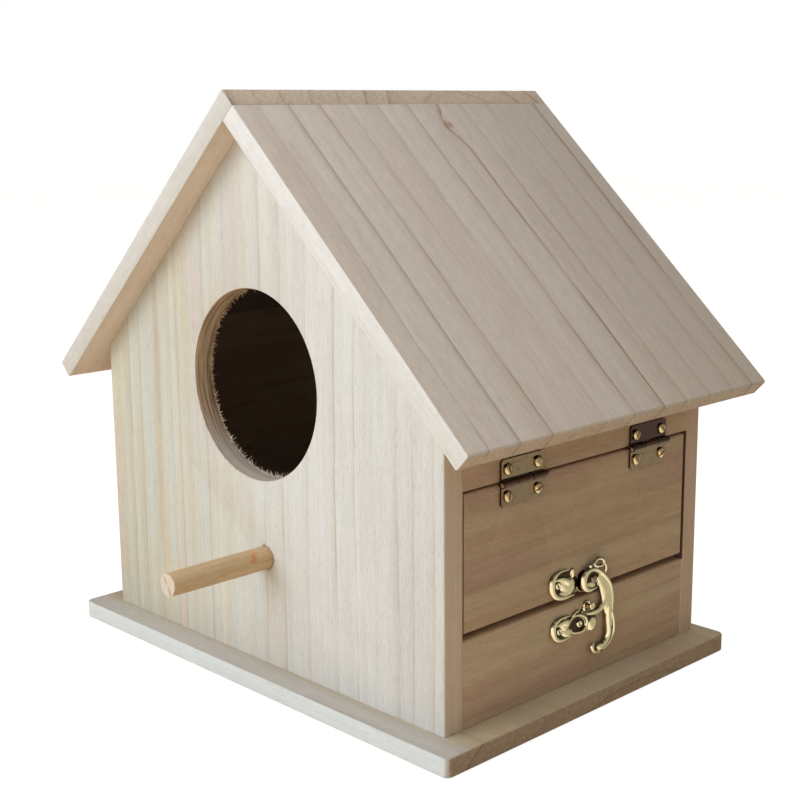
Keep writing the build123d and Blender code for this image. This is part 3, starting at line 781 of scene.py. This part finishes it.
# %% One oval head screw
head_radius, head_depth, foot_rise = 1.75 * MM, 1.2 * MM, 0.1 * MM
slot_width, slot_floor, slot_arris = 0.48 * MM, 0.0, 0.05 * MM
block_length, block_height = 4 * MM, 0.9 * MM
fresh_start()
bpy.ops.mesh.primitive_cylinder_add(
    vertices=40, radius=head_radius, depth=head_depth, location=(0, 0, foot_rise - head_depth / 2))
screw = bpy.context.object
edit_faces()
for inset, rise in ((0.22, 0.16), (0.3, 0.14), (0.4, 0.1), (0.4, 0.04)):
    faces_looking(screw, (0, 0, 1), 0.99)
    bpy.ops.mesh.inset(thickness=inset * MM, depth=rise * MM)
fresh_start()
bpy.ops.mesh.primitive_cube_add(size=1, location=(0, 0, slot_floor + block_height / 2))
slot_block = bpy.context.object
slot_block.scale = (block_length, slot_width, block_height)
use_modifier(screw, "BOOLEAN", operation="DIFFERENCE", object=slot_block, solver="EXACT")
bpy.data.objects.remove(slot_block)
use_modifier(screw, "BEVEL", width=slot_arris, segments=2, limit_method="ANGLE", angle_limit=radians(35))
smooth_below(screw, 35)
print("one screw has", len(screw.data.polygons), "faces")

# %% Eight screws in their places
def stand_out(piece, place, spin):
    """Turn a piece that was made along Z so that it stands out of the right side, and move it there."""
    piece.matrix_world = (Matrix.Translation(place) @ Matrix.Rotation(radians(90), 4, "Y")
                          @ Matrix.Rotation(radians(spin), 4, "Z"))


def copy_of(piece):
    """A copy with its own mesh."""
    made = piece.copy()
    made.data = piece.data.copy()
    bpy.context.scene.collection.objects.link(made)
    return made


leaf_face, screw_offset = wood_face + 0.8 * MM, 7 * MM
screw_turns = iter((20, 75, -35, 50, -10, 110, 35, -60))
for body, node_name in (("house", "hinge_rail_screws"), ("door", "hinge_door_screws")):
    low_corner, high_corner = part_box(node_name)
    row_z = (low_corner.z + high_corner.z) / 2
    for place in ("front", "back"):
        leaf_low, leaf_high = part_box(f"{place}_hinge_fixed_leaf")
        leaf_middle = (leaf_low.y + leaf_high.y) / 2
        for end, offset in (("near", -screw_offset), ("far", screw_offset)):
            one = copy_of(screw)
            stand_out(one, Vector((leaf_face, leaf_middle + offset, row_z)), next(screw_turns))
            settle(one, f"{place}_{body}_screw_{end}", screw_brass, body, "hinge_brass", node_name)
bpy.data.objects.remove(screw)

# %% [markdown]
# ## The perch
#
# The perch is a length of dowel, sawn off by hand: its far end is a little ragged, with a crack
# across, and the near end is pushed into the front board. A cylinder on the CAD perch's own axis is
# enough. Loops are added along it by extruding its end face in steps, each a little out of true, and
# the last faces are drawn in for the broken rim. Then a few vertices of the tip are knocked back.

# %% Perch with a ragged tip
chance = random.Random(11)
perch_low, perch_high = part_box("perch")
perch_axis = Vector(((perch_low.x + perch_high.x) / 2, 0, (perch_low.z + perch_high.z) / 2))
perch_radius = (perch_high.x - perch_low.x) / 2
perch_length = perch_high.y - perch_low.y
first_length, loops, sawn_short, tip_share = perch_length / 8, 9, 0.3 * MM, 0.96
fresh_start()
bpy.ops.mesh.primitive_cylinder_add(
    vertices=40, radius=perch_radius, depth=first_length, end_fill_type="NGON",
    location=perch_axis + Vector((0, perch_high.y - first_length / 2, 0)), rotation=(pi / 2, 0, 0))
perch = bpy.context.object
place_into_mesh()
edit_faces()
step, width = (perch_length - first_length - sawn_short) / loops, perch_radius
for loop in range(loops):
    faces_looking(perch, (0, -1, 0))
    extrude((0, -step, 0))
    width_now = perch_radius * (chance.uniform(0.985, 1.0) if loop < loops - 1 else tip_share)
    bpy.ops.transform.resize(value=(width_now / width, 1, width_now / width), center_override=perch_axis)
    width = width_now
faces_looking(perch, (0, -1, 0))
for inset, rise in ((0.35, 0.05), (0.9, -0.12), (1.0, 0.1), (0.9, -0.05)):
    bpy.ops.mesh.inset(thickness=inset * MM, depth=rise * MM)
bpy.ops.object.mode_set(mode="OBJECT")
tip_y = min(vertex.co.y for vertex in perch.data.vertices)
ragged_length, crack_half_width, crack_depth, crack_slant = 0.7 * MM, 0.4 * MM, 0.4 * MM, 0.6
for vertex in perch.data.vertices:
    near_tip = 1 - min(1, (vertex.co.y - tip_y) / ragged_length)
    if near_tip > 0:
        across, upward = vertex.co.x - perch_axis.x, vertex.co.z - perch_axis.z
        wave = 0.12 * (1 + sin(2.3 * atan2(upward, across) + 0.6))
        vertex.co.y += near_tip * (wave + chance.uniform(0, 0.05)) * MM
        in_crack = abs(across + crack_slant * upward) < crack_half_width
        vertex.co.y += crack_depth if in_crack else 0
settle(perch, "perch_dowel", woods["perch"], "house", "perch_wood", "perch")
smooth_below(perch, 35)
print("perch is", round(perch_length / MM, 1), "mm long, with", len(perch.data.polygons), "faces")

# %% [markdown]
# ## Torn fibres round the entrance
#
# The entrance was cut with a hole saw from the front, and where the teeth came out they tore
# slivers from the back of the board. They stand into the hole as a ragged fringe. One sliver is a
# thin cone, bent and drawn out in edit mode. Copies of it with their own length, width and lean go
# round the back rim, with a few round the front rim at the lower left, and are joined. The
# perch's hole gets a fringe of its own.

# %% One sliver
root_radius, neck_radius, root_length = 0.5 * MM, 0.16 * MM, 1.0 * MM
bent_aside, tip_length, tip_width_share = 0.3 * MM, 0.6 * MM, 0.35
fresh_start()
bpy.ops.mesh.primitive_cone_add(
    vertices=5, radius1=root_radius, radius2=neck_radius, depth=root_length, location=(0, 0, root_length / 2))
sliver = bpy.context.object
edit_faces()
faces_looking(sliver, (0, 0, 1), 0.95)
extrude((bent_aside, 0, tip_length))
bpy.ops.transform.resize(
    value=(tip_width_share, tip_width_share, 1), center_override=(bent_aside, 0, root_length + tip_length))
fresh_start()
print("one sliver has", len(sliver.data.polygons), "faces")

# %% The fringe
chance = random.Random(5)
hole_middle = Vector(entrance_middle)
for name, wood, rims in (
    ("entrance_torn_fibres", woods["front_panel"], (
        (hole_middle, entrance_radius, front_high.y, 75, 300, 300, 1.9),
        (hole_middle, entrance_radius, front_high.y, -60, 75, 110, 1.1),
        (hole_middle, entrance_radius, front_low.y, 190, 262, 40, 0.6))),
    ("perch_hole_torn_fibres", woods["bottom_rail"], (
        (perch_axis, perch_radius, front_low.y, -75, 110, 90, 2.0),)),
):
    fringe = []
    for middle, rim_radius, rim_y, first, last, count, longest in rims:
        back_rim = rim_y == front_high.y
        for n in range(count):
            angle = radians(first + (last - first) * (n + chance.random()) / count)
            inward = -Vector((cos(angle), 0, sin(angle)))
            at = middle - inward * (rim_radius + 0.15 * MM)
            at.y = rim_y - chance.uniform(0.25, 0.9) * MM * (1 if back_rim else -0.4)
            one = copy_of(sliver)
            size = longest * chance.uniform(0.25, 1.0) ** 1.5
            lean_y = chance.uniform(-0.3, 0.7) if back_rim else -chance.uniform(0.2, 1.2)
            lean = Vector((chance.uniform(-0.5, 0.5), lean_y, chance.uniform(-0.5, 0.5)))
            aim = (inward + lean).normalized().to_track_quat("Z", "Y").to_matrix().to_4x4()
            widths = Matrix.Diagonal((chance.uniform(0.7, 1.6), chance.uniform(0.4, 1.0), size, 1))
            spin = Matrix.Rotation(chance.uniform(0, 6.28), 4, "Z")
            one.matrix_world = Matrix.Translation(at) @ aim @ spin @ widths
            fringe.append(one)
    pick(*fringe)
    bpy.ops.object.join()
    torn = settle(bpy.context.object, name, wood, "house", "front_wood")
    print(name, "has", len(torn.data.polygons), "faces")
bpy.data.objects.remove(sliver)

# %% [markdown]
# ## Cast and pressed latch pieces
#
# The latch's plates and arm are small castings: lobes, scrolls and ridges that flow into each
# other with soft hollows between them. They are built up like wax. Discs, rings and tapering rods
# are laid where the CAD solid has its lobes, joined, and remeshed into one skin, which is then
# smoothed. What was laid higher stays higher, so the rims and the sunk floors come by themselves.

# %% Wax pieces: discs, rings, drops and rods
def on_side(side, rise, out_mm):
    """A place on the right side: so far behind the latch's pivot, so far above it, and out from the wood."""
    return Vector((wood_face + out_mm * MM, pivot.y + side * MM, pivot.z + rise * MM))


def disc(side, rise, radius, low_mm, high_mm, corners=48):
    """A flat disc that stands between two distances from the wood."""
    bpy.ops.mesh.primitive_cylinder_add(
        vertices=corners, radius=radius * MM, depth=(high_mm - low_mm) * MM,
        location=on_side(side, rise, (low_mm + high_mm) / 2), rotation=(0, pi / 2, 0))
    return bpy.context.object


def ring(side, rise, radius, thick, out_mm):
    """A round ridge."""
    bpy.ops.mesh.primitive_torus_add(
        major_segments=64, minor_segments=16, major_radius=radius * MM, minor_radius=thick * MM,
        location=on_side(side, rise, out_mm), rotation=(0, pi / 2, 0))
    return bpy.context.object


def drop(side, rise, half_length, half_width, half_height, out_mm, lean=0):
    """A low rounded drop that leans by an angle in degrees."""
    bpy.ops.mesh.primitive_uv_sphere_add(segments=32, ring_count=16, radius=MM)
    made = bpy.context.object
    leaning = Matrix.Rotation(radians(lean), 4, "X")
    sizes = Matrix.Diagonal((half_height, half_length, half_width, 1))
    made.matrix_world = Matrix.Translation(on_side(side, rise, out_mm)) @ leaning @ sizes
    return made


def rod(points, out_mm, flat=1.0):
    """A tapering rod along side, rise and radius, smooth through its points, pressed flat by a share."""
    bpy.ops.curve.primitive_nurbs_path_add(radius=1)
    path = bpy.context.object
    path.data.splines.remove(path.data.splines[0])
    spline = path.data.splines.new("NURBS")
    spline.points.add(len(points) - 1)
    for point, (side, rise, radius) in zip(spline.points, points):
        point.co = (*on_side(side, rise, out_mm), 1)
        point.radius = radius
    spline.order_u = min(4, len(points))
    spline.use_endpoint_u = True
    spline.resolution_u = 10
    path.data.dimensions = "3D"
    path.data.bevel_depth = MM
    path.data.bevel_resolution = 5
    path.data.use_fill_caps = True
    bpy.ops.object.convert(target="MESH")
    made = bpy.context.object
    middle_x = wood_face + out_mm * MM
    for step in (Matrix.Translation((-middle_x, 0, 0)), Matrix.Diagonal((flat, 1, 1, 1)),
                 Matrix.Translation((middle_x, 0, 0))):
        made.data.transform(step)
    return made


def cast(wax, node_name, finish, body, grain_mm=0.12, rounds=4):
    """Join the wax pieces, remesh them into one skin, smooth it and settle it as the node's casting."""
    pick(*wax)
    bpy.ops.object.join()
    piece = bpy.context.object
    place_into_mesh()
    use_modifier(piece, "REMESH", mode="VOXEL", voxel_size=grain_mm * MM)
    use_modifier(piece, "SMOOTH", factor=0.5, iterations=rounds)
    for face in piece.data.polygons:
        face.use_smooth = True
    settle(piece, f"{node_name}_cast", finish, body, "latch_brass", node_name)
    print(piece.name, "has", len(piece.data.polygons), "faces")


print("the wood behind the latch's pivot is at, in mm,", [round(v / MM, 1) for v in on_side(0, 0, 0)])

# %% Latch plate on the flap
fresh_start()
plate_wax = [
    disc(-17.4, 1.6, 4.4, 0, 0.4),
    disc(-13.6, 1.9, 3.9, 0, 0.4),
    disc(-10.6, 0.4, 3.2, 0, 0.4),
    disc(-4.2, 0, 3.7, 0, 0.4),
    disc(0, 0, 4.1, 0, 0.4),
    rod([(-9.0, -3.2, 0.2), (-12.8, -3.2, 0.8), (-16.6, -3.0, 0.95), (-20.1, -1.2, 1.2),
         (-21.1, 1.6, 1.35), (-20.5, 4.1, 1.15), (-18.4, 5.9, 0.6), (-15.4, 6.4, 0.35),
         (-12.4, 5.8, 0.2)], 0.75, flat=0.75),
    drop(-12.3, 0.2, 3.7, 3.3, 0.85, 0.42, lean=-8),
    rod([(-12.4, 1.6, 1.4), (-14.6, 3.2, 1.1), (-17.0, 4.0, 0.7), (-19.3, 3.4, 0.2)], 0.75, flat=0.6),
    drop(-14.4, -1.9, 2.9, 1.4, 0.75, 0.42, lean=-6),
    drop(-10.1, 4.3, 0.9, 1.6, 0.55, 0.6),
]
cast(plate_wax, "latch_plate", plate_brass, "door")

# %% Catch plate on the bottom rail
fresh_start()
catch_wax = [
    disc(-16.6, -13.6, 3.9, 0, 0.38),
    disc(-12.8, -12.8, 3.0, 0, 0.38),
    disc(-9.2, -13.4, 2.8, 0, 0.3),
    disc(-5.8, -14.4, 2.8, 0, 0.3),
    disc(0.2, -15.6, 2.8, 0, 0.45),
    disc(-2.5, -8.9, 1.65, 0, 0.6),
    rod([(-16.4, -14.2, 2.2), (-11.5, -13.8, 2.2), (-6.2, -14.2, 2.0), (0.2, -15.2, 1.9)], 0.2, flat=0.08),
    rod([(-5.6, -11.4, 0.8), (-4.4, -10.4, 0.9), (-2.5, -8.9, 1.1)], 0.35, flat=0.4),
    rod([(-11.2, -10.2, 0.2), (-14.2, -9.6, 0.45), (-17.4, -9.9, 0.75), (-19.9, -11.6, 1.15),
         (-20.1, -14.2, 1.3), (-18.5, -16.5, 1.1), (-16.0, -17.6, 0.85), (-12.8, -17.4, 0.7),
         (-10.0, -17.1, 0.2)], 0.75, flat=0.75),
    drop(-13.5, -12.6, 2.5, 2.4, 0.85, 0.42),
    rod([(-13.0, -12.0, 1.4), (-15.2, -11.3, 0.9), (-17.9, -12.1, 0.2)], 0.75, flat=0.6),
    drop(-12.2, -15.7, 2.6, 1.6, 0.75, 0.42, lean=-4),
    rod([(-11.5, -12.4, 0.4), (-10.6, -11.0, 0.5), (-8.0, -10.6, 0.5), (-4.6, -11.5, 0.5), (-2.5, -13.4, 0.6),
         (-2.3, -15.6, 0.65), (-3.7, -17.2, 0.65), (-6.8, -17.3, 0.65), (-9.8, -16.4, 0.4)], 0.65, flat=0.8),
    rod([(-10.0, -10.6, 0.3), (-8.2, -9.6, 0.6), (-6.8, -9.1, 0.25)], 0.6),
    drop(0.7, -16.0, 2.3, 2.6, 0.8, 0.4, lean=-20),
    ring(-2.5, -8.9, 1.6, 0.34, 0.62),
]
cast(catch_wax, "catch_plate", plate_brass, "house")

# %% Swing arm
fresh_start()
arm_wax = [
    disc(-2.4, 0.3, 3.4, 1.02, 1.3),
    disc(0.3, 0, 3.8, 1.02, 1.3),
    rod([(1.4, -3.0, 0.2), (-2.2, -3.5, 0.8), (-4.9, -2.5, 1.1), (-6.1, -0.7, 1.35), (-6.1, 1.3, 1.4),
         (-5.0, 2.9, 1.2), (-2.4, 3.8, 0.8), (0.8, 3.3, 0.7), (4.2, 1.0, 0.75), (7.0, -1.8, 0.8),
         (9.0, -5.0, 0.8), (9.6, -9.4, 0.8), (9.7, -13.4, 0.3)], 1.75, flat=0.75),
    drop(-1.8, -1.7, 2.7, 1.2, 0.45, 1.35, lean=-12),
    rod([(1.8, 0.6, 1.2), (4.2, -1.4, 2.3), (6.3, -4.8, 3.0), (7.2, -8.6, 2.9), (7.7, -11.8, 2.5),
         (8.0, -14.2, 1.6)], 1.55, flat=0.28),
    rod([(-0.6, 5.0, 0.5), (0.4, 6.4, 0.55), (2.3, 6.8, 0.55), (4.3, 5.7, 0.6), (5.1, 4.5, 0.6),
         (3.8, 3.6, 0.5), (1.2, 3.9, 0.45), (-0.6, 5.0, 0.5)], 1.6),
    rod([(4.9, 4.4, 0.5), (6.3, 3.2, 0.55), (6.3, 1.6, 0.5), (5.2, 0.6, 0.5)], 1.55),
    drop(-2.1, 4.9, 0.9, 0.7, 0.55, 1.5),
    rod([(5.6, -7.0, 0.9), (5.2, -9.6, 1.15), (3.2, -11.3, 1.15), (0.4, -11.5, 1.0), (-2.4, -11.3, 0.8),
         (-3.6, -11.1, 0.3)], 1.65, flat=0.75),
    rod([(7.6, -11.0, 0.9), (7.2, -14.2, 1.3), (7.7, -18.2, 1.3), (8.0, -20.8, 1.25), (7.2, -22.8, 1.2),
         (5.6, -24.2, 1.1), (3.6, -24.8, 1.1)], 1.75, flat=0.75),
    rod([(9.8, -13.0, 0.5), (11.0, -16.6, 0.6), (11.5, -19.4, 0.7), (11.0, -22.4, 0.7), (8.6, -25.1, 0.7),
         (5.6, -26.2, 0.6), (2.8, -26.1, 0.6)], 1.25, flat=0.8),
    rod([(8.6, -13.0, 1.0), (9.6, -18.4, 1.5), (9.4, -21.6, 1.5), (6.6, -24.6, 1.2)], 0.95, flat=0.25),
    drop(3.7, -24.5, 2.0, 1.5, 0.8, 1.75),
    rod([(2.8, -26.0, 0.7), (0.6, -26.0, 0.8), (-0.9, -24.7, 0.85), (-1.0, -23.0, 0.75), (0.4, -22.1, 0.3)],
        1.65, flat=0.9),
]
cast(arm_wax, "latch_arm", arm_brass, "latch_arm")

# %% [markdown]
# ## Nails, rivet and stud
#
# The latch is held by small nails with domed heads. One nail head is made like the screw's head,
# by insetting and raising the top of a disc, with a dimple from the setting punch in its middle,
# and copied. The rivet has a full dome, and is wider. The stud is a post with a lip that leans
# towards the pivot.

# %% Domed heads
def domed(radius_mm, foot_mm, steps):
    """A round head along Z: a disc whose top is inset and raised in steps."""
    fresh_start()
    bpy.ops.mesh.primitive_cylinder_add(
        vertices=40, radius=radius_mm * MM, depth=foot_mm * MM, location=(0, 0, foot_mm * MM / 2))
    made = bpy.context.object
    edit_faces()
    for inset, rise in steps:
        faces_looking(made, (0, 0, 1), 0.99)
        bpy.ops.mesh.inset(thickness=inset * MM, depth=rise * MM)
    smooth_below(made, 50)
    return made


nail = domed(1.35, 0.12, ((0.12, 0.22), (0.22, 0.2), (0.28, 0.08), (0.2, -0.12), (0.15, -0.2)))
for name, body, node_name, side, rise in (
    ("latch_plate_nail_head", "door", "latch_plate_nail", -17.4, 1.6),
    ("catch_nail_head_middle", "house", "catch_plate_nails", -6.2, -14.2),
    ("catch_nail_head_scroll", "house", "catch_plate_nails", -16.4, -14.2),
):
    one = copy_of(nail)
    stand_out(one, on_side(side, rise, 0.42), 0)
    settle(one, name, nail_brass, body, "latch_brass", node_name)
bpy.data.objects.remove(nail)
rivet = domed(1.55, 0.15, ((0.1, 0.18), (0.25, 0.2), (0.35, 0.16), (0.4, 0.1), (0.3, 0.03)))
stand_out(rivet, on_side(0, 0, 1.3), 0)
settle(rivet, "latch_rivet_head", rivet_brass, "door", "latch_brass", "latch_rivet")
rivet_top = max(vertex.co.x for vertex in rivet.data.vertices)
print("the rivet's dome ends", round((rivet_top - wood_face) / MM, 2), "mm out from the wood")

# %% Catch stud
stud_side, stud_rise, stud_radius, stud_length = -2.5, -8.9, 0.9, 2.4
lip_lean, lip_widening, lip_thickness, lip_rounding = 0.45 * MM, 1.39, 0.6 * MM, 0.25 * MM
fresh_start()
stud = disc(stud_side, stud_rise, stud_radius, 0, stud_length, corners=40)
place_into_mesh()
edit_faces()
faces_looking(stud, (1, 0, 0))
to_pivot = Vector((0, -stud_side, -stud_rise)).normalized() * lip_lean
stud_top = on_side(stud_side, stud_rise, stud_length)
extrude(to_pivot)
bpy.ops.transform.resize(value=(1, lip_widening, lip_widening), center_override=stud_top + to_pivot)
extrude((lip_thickness, 0, 0))
bpy.ops.mesh.bevel(offset=lip_rounding, segments=3)
settle(stud, "catch_stud_lipped", stud_brass, "house", "latch_brass", "catch_stud")
smooth_below(stud, 40)
print("stud has", len(stud.data.polygons), "faces")
